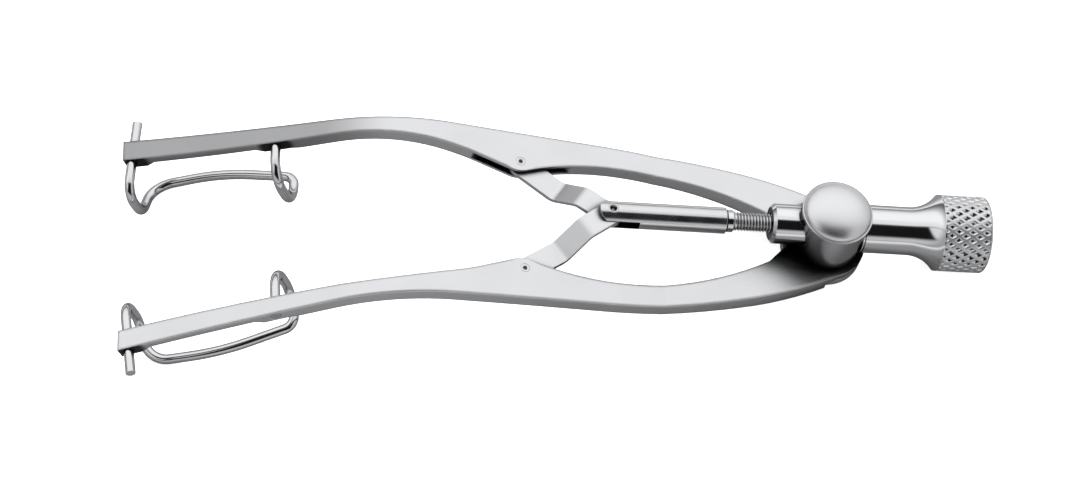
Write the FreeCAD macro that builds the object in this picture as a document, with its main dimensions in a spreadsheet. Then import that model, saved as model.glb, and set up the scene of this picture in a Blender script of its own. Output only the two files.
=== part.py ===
import FreeCAD, Part
import math
import os
import Sketcher
from FreeCAD import Placement, Rotation, Vector

# Adjustable eye speculum: two sprung-open arms with wire blades, closed and opened by a
# knurled thumb screw that draws a rod and its two links along the middle of the instrument.
# The instrument's own axes: +X from the pivot to the knob, +Y to the left arm, +Z up along
# the pivot, with the origin where the pivot axis crosses the screw axis.
# All lengths are millimetres, and angles are degrees.

SIZES = [
    # Screw line
    ("shank_radius", 1.25),
    ("fork_pin_reach", 21.25),
    ("fork_slot_height", 1.15),
    ("fork_slot_depth", 3.85),
    ("shank_end_reach", 10.35),
    ("stop_ring_radius", 1.06),
    ("stop_ring_width", 0.85),
    ("lead_radius", 0.88),
    ("lead_inside_length", 5.2),
    ("lead_core_reach", 3.0),
    ("lead_core_radius", 0.6),
    ("sleeve_radius", 1.5),
    ("bore_gap", 0.05),
    ("sleeve_length", 12.3),
    ("collar_radius", 1.9),
    ("collar_front_reach", 5.97),
    ("collar_length", 3.4),
    ("collar_chamfer", 0.3),
    ("knob_seat_reach", 2.75),
    ("thrust_washer_thickness", 0.15),
    ("neck_radius", 2.3),
    ("neck_length", 4.7),
    ("head_start_reach", 10.26),
    ("head_radius", 3.64),
    ("head_length", 4.7),
    ("head_chamfer", 0.3),
    ("flare_waist_rise", 0.32),
    ("knob_bore_end_reach", 9.2),
    # Pivot
    ("post_radius", 3.35),
    ("post_top_height", 2.45),
    ("cap_radius", 3.4),
    ("cap_rim_height", 0.25),
    ("cap_dome_height", 1.3),
    ("cap_stem_radius", 1.2),
    ("cap_stem_length", 0.75),
    ("stem_radius", 1.2),
    ("hub_top_drop", 2.5),
    ("hub_thickness", 1.74),
    ("lap_gap", 0.04),
    ("ring_radius", 3.95),
    ("washer_thickness", 0.12),
    ("washer_radius", 3.1),
    ("screw_head_radius", 1.9),
    ("screw_head_height", 0.7),
    ("screw_shank_radius", 0.55),
    ("screw_shank_length", 2.3),
    ("screw_slot_width", 0.35),
    ("running_gap", 0.04),
    # Arms
    ("rivet_reach", 29.52),
    ("rivet_spread", 5.8),
    ("rivet_radius", 0.45),
    ("arm_thickness", 1.5),
    ("arm_rise_angle", 7.012),
    ("bend_reach", 41.93),
    ("bend_radius", 21.0),
    ("bend_thickness", 1.62),
    ("blade_fall_angle", 24.607),
    ("blade_end_reach", 66.4),
    ("plan_overrun", 3.6),
    ("outer_tip_spread", 11.78),
    ("inner_tip_spread", 9.68),
    ("blade_boss_thickness", 1.35),
    ("blade_relief_thickness", 0.85),
    ("boss_length", 2.6),
    ("post_foot_chamfer", 0.18),
    ("hub_flat_reach", 15.9),
    ("hub_knee_reach", 5.5),
    ("boss_ramp", 0.8),
    ("lap_clearance", 0.35),
    ("link_slot_height", 0.9),
    ("link_slot_radius", 9.1),
    ("link_slot_bottom", 7.5),
    # Links
    ("link_width", 2.25),
    ("link_thickness", 0.48),
    ("link_stack_gap", 0.08),
    ("link_low_length", 4.4),
    ("link_high_length", 3.25),
    ("link_bend_radius", 0.9),
    ("open_pivot_gap", 0.15),
    ("pin_radius", 0.45),
    ("pin_gap", 0.02),
    # Blade wires
    ("wire_radius", 0.48),
    ("wire_front_inset", 0.78),
    ("wire_span", 14.42),
    ("front_toe_angle", 5.9),
    ("rear_toe_angle", 1.8),
    ("stub_length", 2.35),
    ("front_hook_lead", 1.6),
    ("front_hook_radius", 1.75),
    ("front_hook_drop", 3.82),
    ("rear_hook_lead", 1.23),
    ("rear_hook_radius", 2.3),
    ("rear_hook_drop", 5.16),
    ("front_corner_outset", 0.47),
    ("front_corner_drop", 5.36),
    ("front_corner_radius", 2.4),
    ("rear_corner_inset", 0.17),
    ("rear_corner_drop", 5.58),
    ("rear_corner_radius", 1.2),
    ("run_bow_out", 0.9),
    ("run_bow_up", 0.11),
    ("run_bow_radius", 24.0),
    # Attitude at rest
    ("origin_reach", 25.965),
]

# Plan of the left arm as points from the pivot: reach towards the tip, then spread. Both
# edges run on past the blade's end by plan_overrun, and the side view cuts them to length.
OUTER_EDGE = [
    ("outer_blade", 58.5, 10.6),
    ("outer_bend", 46.0, 9.7),
    ("outer_middle", 33.0, 9.08),
    ("outer_swell", 21.0, 8.62),
    ("outer_shoulder", 14.0, 7.98),
    ("outer_heel", 7.0, 6.68),
    ("outer_root", 3.0, 5.5),
]
INNER_EDGE = [
    ("inner_root", 5.6, 2.66),
    ("inner_arch", 12.5, 5.28),
    ("inner_crown", 21.0, 6.25),
    ("inner_rise", 25.5, 5.78),
    ("inner_nose_back", 28.7, 4.98),
    ("inner_nose", 29.75, 4.8),
    ("inner_nose_front", 30.8, 5.05),
    ("inner_flank", 34.5, 6.38),
    ("inner_neck", 40.0, 7.6),
    ("inner_bend", 47.0, 8.17),
    ("inner_blade", 58.5, 8.64),
]


# Where the arm's two edges meet the pivot ring, and a point between them round the far side
OUTER_TANGENT_ANGLE = 72
INNER_TANGENT_ANGLE = 167
FAR_SIDE_ANGLE = -60


class Size(float):
    """A length that carries the sheet formula it comes from."""

    def __new__(cls, value, text):
        made = float.__new__(cls, value)
        made.text = text
        return made

    def __add__(self, other):
        return Size(float(self) + float(other), f"({self.text} + {formula(other)})")

    def __radd__(self, other):
        return Size(float(other) + float(self), f"({formula(other)} + {self.text})")

    def __sub__(self, other):
        return Size(float(self) - float(other), f"({self.text} - {formula(other)})")

    def __rsub__(self, other):
        return Size(float(other) - float(self), f"({formula(other)} - {self.text})")

    def __mul__(self, other):
        return Size(float(self) * float(other), f"({self.text} * {formula(other)})")

    def __rmul__(self, other):
        return Size(float(other) * float(self), f"({formula(other)} * {self.text})")

    def __truediv__(self, other):
        return Size(float(self) / float(other), f"({self.text} / {formula(other)})")

    def __neg__(self):
        return Size(-float(self), f"(-1 * {self.text})")


def formula(value):
    return value.text if isinstance(value, Size) else repr(float(value))


doc = FreeCAD.newDocument("EyeSpeculum")
sheet = doc.addObject("Spreadsheet::Sheet", "Sizes")


def fill_sheet():
    """Write every driving size into the sheet, under its own alias."""
    rows = list(SIZES)
    for name, reach, spread in OUTER_EDGE + INNER_EDGE:
        rows.append((name + "_reach", reach))
        rows.append((name + "_spread", spread))
    for row, (alias, value) in enumerate(rows, start=1):
        sheet.set(f"A{row}", alias)
        sheet.set(f"B{row}", str(value))
        sheet.setAlias(f"B{row}", alias)
    doc.recompute()


fill_sheet()


def size(alias):
    return Size(sheet.get(alias), f"Sizes.{alias}")


# Sketching
def make_body(name):
    body = doc.addObject("PartDesign::Body", name)
    body.Label = name
    return body


def origin_plane(body, role):
    for feature in body.Origin.OriginFeatures:
        if feature.Role == role:
            return feature
    raise ValueError(role)


def new_sketch(body, name, role="XY_Plane", offset=None):
    sketch = body.newObject("Sketcher::SketchObject", name)
    sketch.AttachmentSupport = [(origin_plane(body, role), "")]
    sketch.MapMode = "FlatFace"
    if offset is not None:
        sketch.AttachmentOffset = offset
    return sketch


def pin_point(sketch, geometry, which, place):
    """Hold one vertex at a distance from the sketch origin given by the sheet."""
    for axis, value in (("DistanceX", place[0]), ("DistanceY", place[1])):
        if abs(float(value)) < 1e-9 and not isinstance(value, Size):
            on_axis = -2 if axis == "DistanceX" else -1
            sketch.addConstraint(Sketcher.Constraint("PointOnObject", geometry, which, on_axis))
            continue
        ends = (-1, 1, geometry, which) if value >= 0 else (geometry, which, -1, 1)
        index = sketch.addConstraint(Sketcher.Constraint(axis, *ends, abs(float(value))))
        if isinstance(value, Size):
            sketch.setExpression(f"Constraints[{index}]", formula(value if value >= 0 else -value))


def add_loop(sketch, start, steps):
    """Add a closed loop of lines and three-point arcs, each vertex held by the sheet."""
    flat = lambda point: Vector(float(point[0]), float(point[1]), 0)
    here = start
    first = last = None
    for number, step in enumerate(steps, start=1):
        end = step[-1]
        if len(step) == 2:
            curve = Part.Arc(flat(here), flat(step[0]), flat(end))
            index = sketch.addGeometry(curve, False)
            swapped = circle_runs_backwards(flat(here), flat(step[0]), flat(end))
            middle = sketch.addGeometry(Part.Point(flat(step[0])), True)
            pin_point(sketch, middle, 1, step[0])
            sketch.addConstraint(Sketcher.Constraint("PointOnObject", middle, 1, index))
        else:
            index = sketch.addGeometry(Part.LineSegment(flat(here), flat(end)), False)
            swapped = False
        begin_vertex, end_vertex = (2, 1) if swapped else (1, 2)
        if last is None:
            first = (index, begin_vertex)
            pin_point(sketch, index, begin_vertex, start)
        else:
            sketch.addConstraint(Sketcher.Constraint("Coincident", *last, index, begin_vertex))
        if number < len(steps):
            pin_point(sketch, index, end_vertex, end)
        last = (index, end_vertex)
        here = end
    sketch.addConstraint(Sketcher.Constraint("Coincident", *last, *first))


def circle_runs_backwards(a, b, c):
    """A sketch keeps every arc anticlockwise, so a clockwise one swaps its ends."""
    return (b - a).cross(c - b).z < 0


def add_circle(sketch, centre, radius):
    spot = Vector(float(centre[0]), float(centre[1]), 0)
    index = sketch.addGeometry(Part.Circle(spot, Vector(0, 0, 1), float(radius)), False)
    pin_point(sketch, index, 3, centre)
    held = sketch.addConstraint(Sketcher.Constraint("Radius", index, float(radius)))
    if isinstance(radius, Size):
        sketch.setExpression(f"Constraints[{held}]", formula(radius))


def add_box(sketch, low, high):
    corners = [low, (high[0], low[1]), high, (low[0], high[1])]
    add_loop(sketch, corners[0], [(corners[1],), (corners[2],), (corners[3],), (corners[0],)])


# Features
def pad(body, sketch, length, middle=False, back=False):
    feature = body.newObject("PartDesign::Pad", sketch.Name + "_pad")
    feature.Profile = sketch
    feature.Length = float(length)
    if isinstance(length, Size):
        feature.setExpression("Length", formula(length))
    feature.Midplane = middle
    feature.Reversed = back
    return feature


def pocket(body, sketch, length=None, middle=False, up=False):
    """Cut a sketch out of the body: down from its plane, up with up=True, or both ways."""
    before = solid_volume(body)
    feature = body.newObject("PartDesign::Pocket", sketch.Name + "_cut")
    feature.Profile = sketch
    if length is None:
        feature.Type = "ThroughAll"
    else:
        feature.Type = "Length"
        feature.Length = float(length)
        if isinstance(length, Size):
            feature.setExpression("Length", formula(length))
    feature.Midplane = middle
    feature.Reversed = up
    doc.recompute()
    if solid_volume(body) > before - 1e-6:
        raise ValueError(f"{feature.Name} cut nothing")
    return feature


def solid_volume(body):
    doc.recompute()
    return body.Shape.Volume


def revolve(body, sketch):
    feature = body.newObject("PartDesign::Revolution", sketch.Name + "_turned")
    feature.Profile = sketch
    feature.ReferenceAxis = (sketch, ["H_Axis"])
    feature.Angle = 360
    doc.recompute()
    return feature


def round_edges(body, name, radius, wanted):
    """Round the edges of the body's present shape that wanted() picks."""
    doc.recompute()
    base = body.Tip
    edges = [f"Edge{i}" for i, edge in enumerate(base.Shape.Edges, start=1) if wanted(edge)]
    feature = body.newObject("PartDesign::Fillet", name)
    feature.Base = (base, edges)
    feature.Radius = float(radius)
    feature.setExpression("Radius", formula(radius))
    doc.recompute()
    return feature


def stands_at(edge, corners):
    """True for a crosswise edge whose side view is one of the given corners."""
    middle = edge.valueAt((edge.FirstParameter + edge.LastParameter) / 2)
    crosswise = abs(edge.Vertexes[0].Y - edge.Vertexes[-1].Y) > 0.1
    return crosswise and any(math.hypot(middle.x - x, middle.z - z) < 1e-5 for x, z in corners)


# Screw line, from the fork to the knob. Each is turned about the X axis.
def turned(name, start, steps):
    """A body turned about X from a half profile of (x, r) points."""
    body = make_body(name)
    sketch = new_sketch(body, name + "_profile")
    add_loop(sketch, start, steps)
    revolve(body, sketch)
    return body


fork_pin_x = -size("fork_pin_reach")
shank_end_x = -size("shank_end_reach")
ring_end_x = shank_end_x + size("stop_ring_width")
collar_front_x = -size("collar_front_reach")
collar_back_x = collar_front_x + size("collar_length")
knob_seat_x = size("knob_seat_reach")
knob_start_x = knob_seat_x + size("thrust_washer_thickness") + size("running_gap")
neck_end_x = knob_start_x + size("neck_length")
head_start_x = size("head_start_reach")
head_end_x = head_start_x + size("head_length")
sleeve_front_x = collar_front_x + size("running_gap")
sleeve_back_x = sleeve_front_x + size("sleeve_length")


def make_draw_rod():
    """The round shank, forked at its front to take both links."""
    radius = size("shank_radius")
    front = fork_pin_x - radius
    core = size("lead_core_radius")
    socket_x = shank_end_x - size("lead_core_reach")
    body = turned("draw_rod", (front, 0.0), [
        ((front, radius),),
        ((shank_end_x, radius),),
        ((shank_end_x, core),),
        ((socket_x, core),),
        ((socket_x, 0.0),),
        ((front, 0.0),),
    ])
    # The fork's end is rounded about the pin, seen from above
    end = new_sketch(body, "fork_end")
    beyond = front - radius
    add_loop(end, (fork_pin_x, radius), [
        ((fork_pin_x - radius, 0.0), (fork_pin_x, -radius)),
        ((fork_pin_x, -2 * radius),),
        ((beyond, -2 * radius),),
        ((beyond, 2 * radius),),
        ((fork_pin_x, 2 * radius),),
        ((fork_pin_x, radius),),
    ])
    pocket(body, end, middle=True)
    slot = new_sketch(body, "fork_slot", "XZ_Plane")
    half = size("fork_slot_height") / 2
    add_box(slot, (beyond, -half), (front + size("fork_slot_depth"), half))
    pocket(body, slot, middle=True)
    hole = new_sketch(body, "fork_pin_hole")
    add_circle(hole, (fork_pin_x, 0.0), size("pin_radius"))
    pocket(body, hole, middle=True)
    return body


def make_fork_pin():
    """The pin across the fork, domed at both ends with a centre dimple on top."""
    body = make_body("fork_pin")
    half = size("shank_radius") - size("running_gap")
    sketch = new_sketch(body, "fork_pin_round", offset=Placement(Vector(0, 0, -float(half)), Rotation()))
    sketch.setExpression("AttachmentOffset.Base.z", formula(-half))
    add_circle(sketch, (fork_pin_x, 0.0), size("pin_radius"))
    pad(body, sketch, 2 * half)
    dimple = new_sketch(body, "fork_pin_dimple", offset=Placement(Vector(0, 0, float(half)), Rotation()))
    dimple.setExpression("AttachmentOffset.Base.z", formula(half))
    add_circle(dimple, (fork_pin_x, 0.0), size("pin_radius") / 2)
    pocket(body, dimple, size("pin_radius") / 3)
    return body


def make_stop_ring():
    """The ring at the shank's end that meets the collar when the blades are closed."""
    outer = size("stop_ring_radius")
    inner = size("lead_core_radius")
    edge = size("stop_ring_width") / 5
    return turned("stop_ring", (shank_end_x, inner), [
        ((shank_end_x, outer - edge),),
        ((shank_end_x + edge, outer),),
        ((ring_end_x - edge, outer),),
        ((ring_end_x, outer - edge),),
        ((ring_end_x, inner),),
        ((shank_end_x, inner),),
    ])


def make_lead_screw():
    """The threaded rod, as the cylinder over its crests, with its spigot in the shank."""
    radius = size("lead_radius")
    core = size("lead_core_radius")
    start = shank_end_x - size("lead_core_reach")
    end = collar_front_x + size("lead_inside_length")
    tip = radius / 4
    return turned("lead_screw", (start, 0.0), [
        ((start, core),),
        ((ring_end_x, core),),
        ((ring_end_x, radius),),
        ((end - tip, radius),),
        ((end, radius - tip),),
        ((end, 0.0),),
        ((start, 0.0),),
    ])


def make_threaded_sleeve():
    """The nut tube through the post, tapped for the lead screw."""
    outer = size("sleeve_radius")
    inner = size("lead_radius") + size("bore_gap")
    return turned("threaded_sleeve", (sleeve_front_x, inner), [
        ((sleeve_front_x, outer),),
        ((sleeve_back_x, outer),),
        ((sleeve_back_x, inner),),
        ((sleeve_front_x, inner),),
    ])


def make_collar():
    """The collar that holds the sleeve in the post from the front."""
    outer = size("collar_radius")
    inner = size("sleeve_radius")
    edge = size("collar_chamfer")
    return turned("retaining_collar", (collar_front_x, inner), [
        ((collar_front_x, outer - edge),),
        ((collar_front_x + edge, outer),),
        ((collar_back_x, outer),),
        ((collar_back_x, inner),),
        ((collar_front_x, inner),),
    ])


def make_thrust_washer():
    washer_end_x = knob_seat_x + size("thrust_washer_thickness")
    outer = size("neck_radius") - size("running_gap")
    inner = size("sleeve_radius") + size("bore_gap")
    return turned("thrust_washer", (knob_seat_x, inner), [
        ((knob_seat_x, outer),),
        ((washer_end_x, outer),),
        ((washer_end_x, inner),),
        ((knob_seat_x, inner),),
    ])


def make_knob():
    """Neck, trumpet flare and head in one turning, bored blind for the sleeve and screw."""
    neck = size("neck_radius")
    head = size("head_radius")
    edge = size("head_chamfer")
    bore = size("sleeve_radius")
    clear = size("lead_radius") + size("bore_gap")
    bore_end = size("knob_bore_end_reach")
    waist = ((neck_end_x + head_start_x) / 2, neck + size("flare_waist_rise"))
    return turned("knob", (knob_start_x, bore), [
        ((knob_start_x, neck),),
        ((neck_end_x, neck),),
        (waist, (head_start_x, head)),
        ((head_end_x - edge, head),),
        ((head_end_x, head - edge),),
        ((head_end_x, 0.0),),
        ((bore_end, 0.0),),
        ((bore_end, clear),),
        ((sleeve_back_x, clear),),
        ((sleeve_back_x, bore),),
        ((knob_start_x, bore),),
    ])


# Pivot
hub_top_z = -size("hub_top_drop")
hub_bottom_z = hub_top_z - size("hub_thickness")
lap_z = (hub_top_z + hub_bottom_z) / 2
post_foot_z = hub_top_z + size("washer_thickness") + size("running_gap")
lower_washer_top_z = hub_bottom_z - size("running_gap")
stem_end_z = lower_washer_top_z - size("washer_thickness")


def upright(name, start, steps):
    """A body turned about Z from a half profile of (r, z) points."""
    body = make_body(name)
    sketch = new_sketch(body, name + "_profile", "XZ_Plane")
    add_loop(sketch, start, steps)
    feature = revolve(body, sketch)
    feature.ReferenceAxis = (sketch, ["V_Axis"])
    doc.recompute()
    return body


def make_post():
    """The round post, bored across for the sleeve, with the pivot stem below it."""
    radius = size("post_radius")
    stem = size("stem_radius")
    screw = size("screw_shank_radius")
    screw_top = stem_end_z + size("screw_shank_length")
    top = size("post_top_height")
    stem_bore = size("cap_stem_radius")
    cap_floor = top - size("cap_stem_length")
    edge = size("post_foot_chamfer")
    body = upright("pivot_post", (0.0, cap_floor), [
        ((stem_bore, cap_floor),),
        ((stem_bore, top),),
        ((radius, top),),
        ((radius, post_foot_z + edge),),
        ((radius - edge, post_foot_z),),
        ((stem, post_foot_z),),
        ((stem, stem_end_z),),
        ((screw, stem_end_z),),
        ((screw, screw_top),),
        ((0.0, screw_top),),
        ((0.0, cap_floor),),
    ])
    bore = new_sketch(body, "cross_bore", "YZ_Plane")
    add_circle(bore, (0.0, 0.0), size("sleeve_radius") + size("bore_gap"))
    pocket(body, bore, middle=True)
    for name, reach, wide, up in (
        ("knob_seat", knob_seat_x, size("neck_radius") + size("bore_gap"), True),
        ("collar_seat", collar_back_x + size("running_gap"), size("collar_radius") + size("bore_gap"), False),
    ):
        seat = new_sketch(body, name, "YZ_Plane", Placement(Vector(0, 0, float(reach)), Rotation()))
        seat.setExpression("AttachmentOffset.Base.z", formula(reach))
        add_circle(seat, (0.0, 0.0), wide)
        pocket(body, seat, 2 * radius, up=up)
    return body


def make_cap():
    """The domed button over the post, with a thin bright rim and a pressed stem."""
    radius = size("cap_radius")
    low = size("post_top_height")
    rim = low + size("cap_rim_height")
    crown = rim + size("cap_dome_height")
    stem = size("cap_stem_radius")
    foot = low - size("cap_stem_length")
    dome = size("cap_dome_height")
    sphere = (radius * radius + dome * dome) / (2 * dome)
    half_angle = math.asin(radius / sphere) / 2
    shoulder = (sphere * math.sin(half_angle), crown - sphere * (1 - math.cos(half_angle)))
    return upright("cap", (0.0, foot), [
        ((stem, foot),),
        ((stem, low),),
        ((radius, low),),
        ((radius, rim),),
        (shoulder, (0.0, crown)),
        ((0.0, foot),),
    ])


def make_washer(name, low, high, inner, outer):
    return upright(name, (inner, low), [
        ((outer, low),),
        ((outer, high),),
        ((inner, high),),
        ((inner, low),),
    ])


def make_pivot_screw():
    """The wide slotted screw from below that keeps both arms on the stem."""
    head = size("screw_head_radius")
    shank = size("screw_shank_radius")
    high = stem_end_z
    low = high - size("screw_head_height")
    edge = size("screw_head_height") / 3
    top = stem_end_z + size("screw_shank_length")
    body = upright("pivot_screw", (0.0, low), [
        ((head - edge, low),),
        ((head, low + edge),),
        ((head, high),),
        ((shank, high),),
        ((shank, top),),
        ((0.0, top),),
        ((0.0, low),),
    ])
    slot = new_sketch(body, "driver_slot", "XZ_Plane")
    half = size("screw_slot_width") / 2
    add_box(slot, (-half, low - edge), (half, low + edge))
    pocket(body, slot, middle=True)
    return body


# Arms
class Side:
    """Left is +Y, where the pivot ring is the lower one; right is its mirror image."""

    def __init__(self, name, sign):
        self.name = name
        self.sign = sign

    def plan(self, point):
        reach = plan_end_reach if point.endswith("_tip") else size(point + "_reach")
        return (-reach, self.sign * size(point + "_spread"))

    def path(self, *points):
        return [self.plan(point) for point in points]


LEFT = Side("left", 1)
RIGHT = Side("right", -1)
plan_end_reach = size("blade_end_reach") + size("plan_overrun")
arm_angle = math.radians(size("arm_rise_angle"))
blade_angle = math.radians(size("blade_fall_angle"))
bend_corner = (
    -float(size("bend_reach")),
    float(hub_top_z) + float(size("bend_reach") - size("hub_flat_reach")) * math.tan(arm_angle),
)
blade_tip = (
    -float(size("blade_end_reach")),
    float(bend_corner[1]) - float(size("blade_end_reach") - size("bend_reach")) * math.tan(blade_angle),
)


def shifted(point, angle, run, drop=0.0):
    """Run from a point of the side view along a rising line, then drop square to it."""
    cos, sin = math.cos(angle), math.sin(angle)
    return (point[0] + run * cos + drop * sin, point[1] + run * sin - drop * cos)


def on_blade(run, drop=0.0):
    """A point of the side view by its distance behind the tip and below the top face."""
    return shifted(blade_tip, blade_angle, float(run), float(drop))


def on_arm(reach, drop=0.0):
    """A point of the side view on the straight between the hub and the bend."""
    run = (size("bend_reach") - reach) / math.cos(arm_angle)
    return shifted(bend_corner, -arm_angle, float(run), float(drop))


front_hole_run = size("wire_front_inset")
rear_hole_run = front_hole_run + size("wire_span")
hole_drop = size("blade_boss_thickness") / 2
WIRE_HOLES = (
    ("front_hole_", front_hole_run, size("front_toe_angle")),
    ("rear_hole_", rear_hole_run, size("rear_toe_angle")),
)


def side_view():
    """The band between the arm's top and bottom faces, seen from the side."""
    radius = float(size("bend_radius"))
    thick = float(size("arm_thickness"))
    setback = radius * math.tan((arm_angle + blade_angle) / 2)
    rear = shifted(bend_corner, -arm_angle, setback)
    front = shifted(bend_corner, blade_angle, -setback)
    centre = shifted(rear, -arm_angle, 0.0, radius)
    rise = math.hypot(bend_corner[0] - centre[0], bend_corner[1] - centre[1])
    up = ((bend_corner[0] - centre[0]) / rise, (bend_corner[1] - centre[1]) / rise)
    arch = lambda r: (centre[0] + r * up[0], centre[1] + r * up[1])
    boss, relief = size("blade_boss_thickness"), size("blade_relief_thickness")
    half_boss = size("boss_length") / 2
    ramp = size("boss_ramp")
    hub_end = float(size("ring_radius") + 1)
    flat = -float(size("hub_flat_reach"))
    knee = -float(size("hub_knee_reach"))
    start = (hub_end, float(hub_top_z))
    return start, [
        ((flat, float(hub_top_z)),),
        (rear,),
        (arch(radius), front),
        (blade_tip,),
        (on_blade(0, boss),),
        (on_blade(front_hole_run + half_boss, boss),),
        (on_blade(front_hole_run + half_boss + ramp, relief),),
        (on_blade(rear_hole_run - half_boss - ramp, relief),),
        (on_blade(rear_hole_run - half_boss, boss),),
        (on_blade(rear_hole_run + half_boss, boss),),
        (on_blade(rear_hole_run + half_boss + ramp, thick),),
        (shifted(front, blade_angle, 0.0, thick),),
        (arch(radius - thick), shifted(rear, -arm_angle, 0.0, thick)),
        (on_arm(size("hub_flat_reach"), thick),),
        ((knee, float(hub_bottom_z)),),
        ((hub_end, float(hub_bottom_z)),),
        (start,),
    ]


def arm_plan(sketch, side):
    """The arm's outline from above, closed round the pivot ring."""
    outer_tangent = ring_point(side, OUTER_TANGENT_ANGLE)
    inner_tangent = ring_point(side, INNER_TANGENT_ANGLE)
    far = ring_point(side, FAR_SIDE_ANGLE)
    p = side.plan
    add_loop(sketch, p("inner_tip"), [
        (p("outer_tip"),),
        (p("outer_blade"), p("outer_bend")),
        (p("outer_middle"), p("outer_swell")),
        (p("outer_shoulder"), p("outer_heel")),
        (p("outer_root"), outer_tangent),
        (far, inner_tangent),
        (p("inner_root"),),
        (p("inner_arch"), p("inner_crown")),
        (p("inner_rise"), p("inner_nose_back")),
        (p("inner_nose"), p("inner_nose_front")),
        (p("inner_flank"),),
        (p("inner_neck"), p("inner_bend")),
        (p("inner_blade"), p("inner_tip")),
    ])


def ring_point(side, degrees):
    """A point on the pivot ring's rim, by its angle from +X towards the arm's own side."""
    angle = math.radians(degrees)
    ring = size("ring_radius")
    return (ring * math.cos(angle), side.sign * ring * math.sin(angle))


def make_arm(side):
    body = make_body("arm_" + side.name)
    plan = new_sketch(body, "plan_" + side.name)
    arm_plan(plan, side)
    blank = 2 * size("blade_end_reach")
    pad(body, plan, blank, middle=True)
    # Cut away all that lies outside the side view
    view = new_sketch(body, "side_view_" + side.name, "XZ_Plane")
    start, steps = side_view()
    add_loop(view, start, steps)
    add_box(view, (-2 * plan_end_reach, -blank), (size("ring_radius") * 3, blank))
    pocket(body, view, middle=True)
    # Half lap: the left ring keeps its lower half and the right ring its upper half
    lap = new_sketch(body, "half_lap_" + side.name)
    keep = lap_z - side.sign * size("lap_gap") / 2
    lap.AttachmentOffset = Placement(Vector(0, 0, float(keep)), Rotation())
    lap.setExpression("AttachmentOffset.Base.z", formula(keep))
    add_circle(lap, (0.0, 0.0), size("ring_radius") + size("lap_clearance"))
    pocket(body, lap, size("hub_thickness"), up=side.sign > 0)
    # Pivot bore, rivet hole, and wire holes through the blade's bosses
    bore = new_sketch(body, "pivot_bore_" + side.name)
    add_circle(bore, (0.0, 0.0), size("stem_radius") + size("running_gap"))
    pocket(body, bore, middle=True)
    rivet = new_sketch(body, "rivet_hole_" + side.name)
    add_circle(rivet, rivet_place(side), size("rivet_radius"))
    pocket(body, rivet, middle=True)
    for name, run, toe in WIRE_HOLES:
        hole = new_sketch(body, name + side.name, "XZ_Plane")
        x, z = on_blade(run, hole_drop)
        square = Vector(-math.sin(blade_angle), math.cos(blade_angle), 0)
        turn = Rotation(square, -side.sign * float(toe))
        hole.AttachmentOffset = Placement(Vector(x, z, -side.sign * blade_middle(x)), turn)
        add_circle(hole, (0.0, 0.0), size("wire_radius"))
        pocket(body, hole, middle=True)
    # The slot for the link follows the arm's slope, as a slitting saw leaves it
    tilt = Rotation(Vector(0, 1, 0), math.degrees(arm_angle))
    centre = on_arm(size("rivet_reach"), size("arm_thickness") / 2)
    slot = new_sketch(body, "link_slot_" + side.name)
    slot.AttachmentOffset = Placement(Vector(centre[0], 0, centre[1]), tilt)
    saw = side.sign * (size("link_slot_bottom") - size("link_slot_radius"))
    add_circle(slot, (0.0, saw), size("link_slot_radius"))
    pocket(body, slot, size("link_slot_height"), middle=True)
    return body


def rivet_place(side):
    return (-size("rivet_reach"), side.sign * size("rivet_spread"))


def make_rivet(side):
    """The flush rivet through the arm's two leaves and the link's eye."""
    body = make_body("link_rivet_" + side.name)
    low = on_arm(size("rivet_reach"), size("arm_thickness"))
    sketch = new_sketch(body, "rivet_round_" + side.name)
    sketch.AttachmentOffset = Placement(Vector(0, 0, low[1]), Rotation())
    add_circle(sketch, rivet_place(side), size("rivet_radius"))
    pad(body, sketch, size("arm_thickness") / math.cos(arm_angle))
    return body


# Links. A link's own frame has its origin at the fork pin and +X towards the rivet.
link_span = math.hypot(size("rivet_reach") - size("fork_pin_reach"), size("rivet_spread"))
link_lean = math.degrees(math.asin(size("rivet_spread") / link_span))


def link_frame(side):
    """The link's place on the instrument: turned about the fork pin towards its rivet."""
    turn = Rotation(Vector(0, 0, 1), 180 - side.sign * link_lean)
    return Placement(Vector(float(fork_pin_x), 0, 0), turn)


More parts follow.
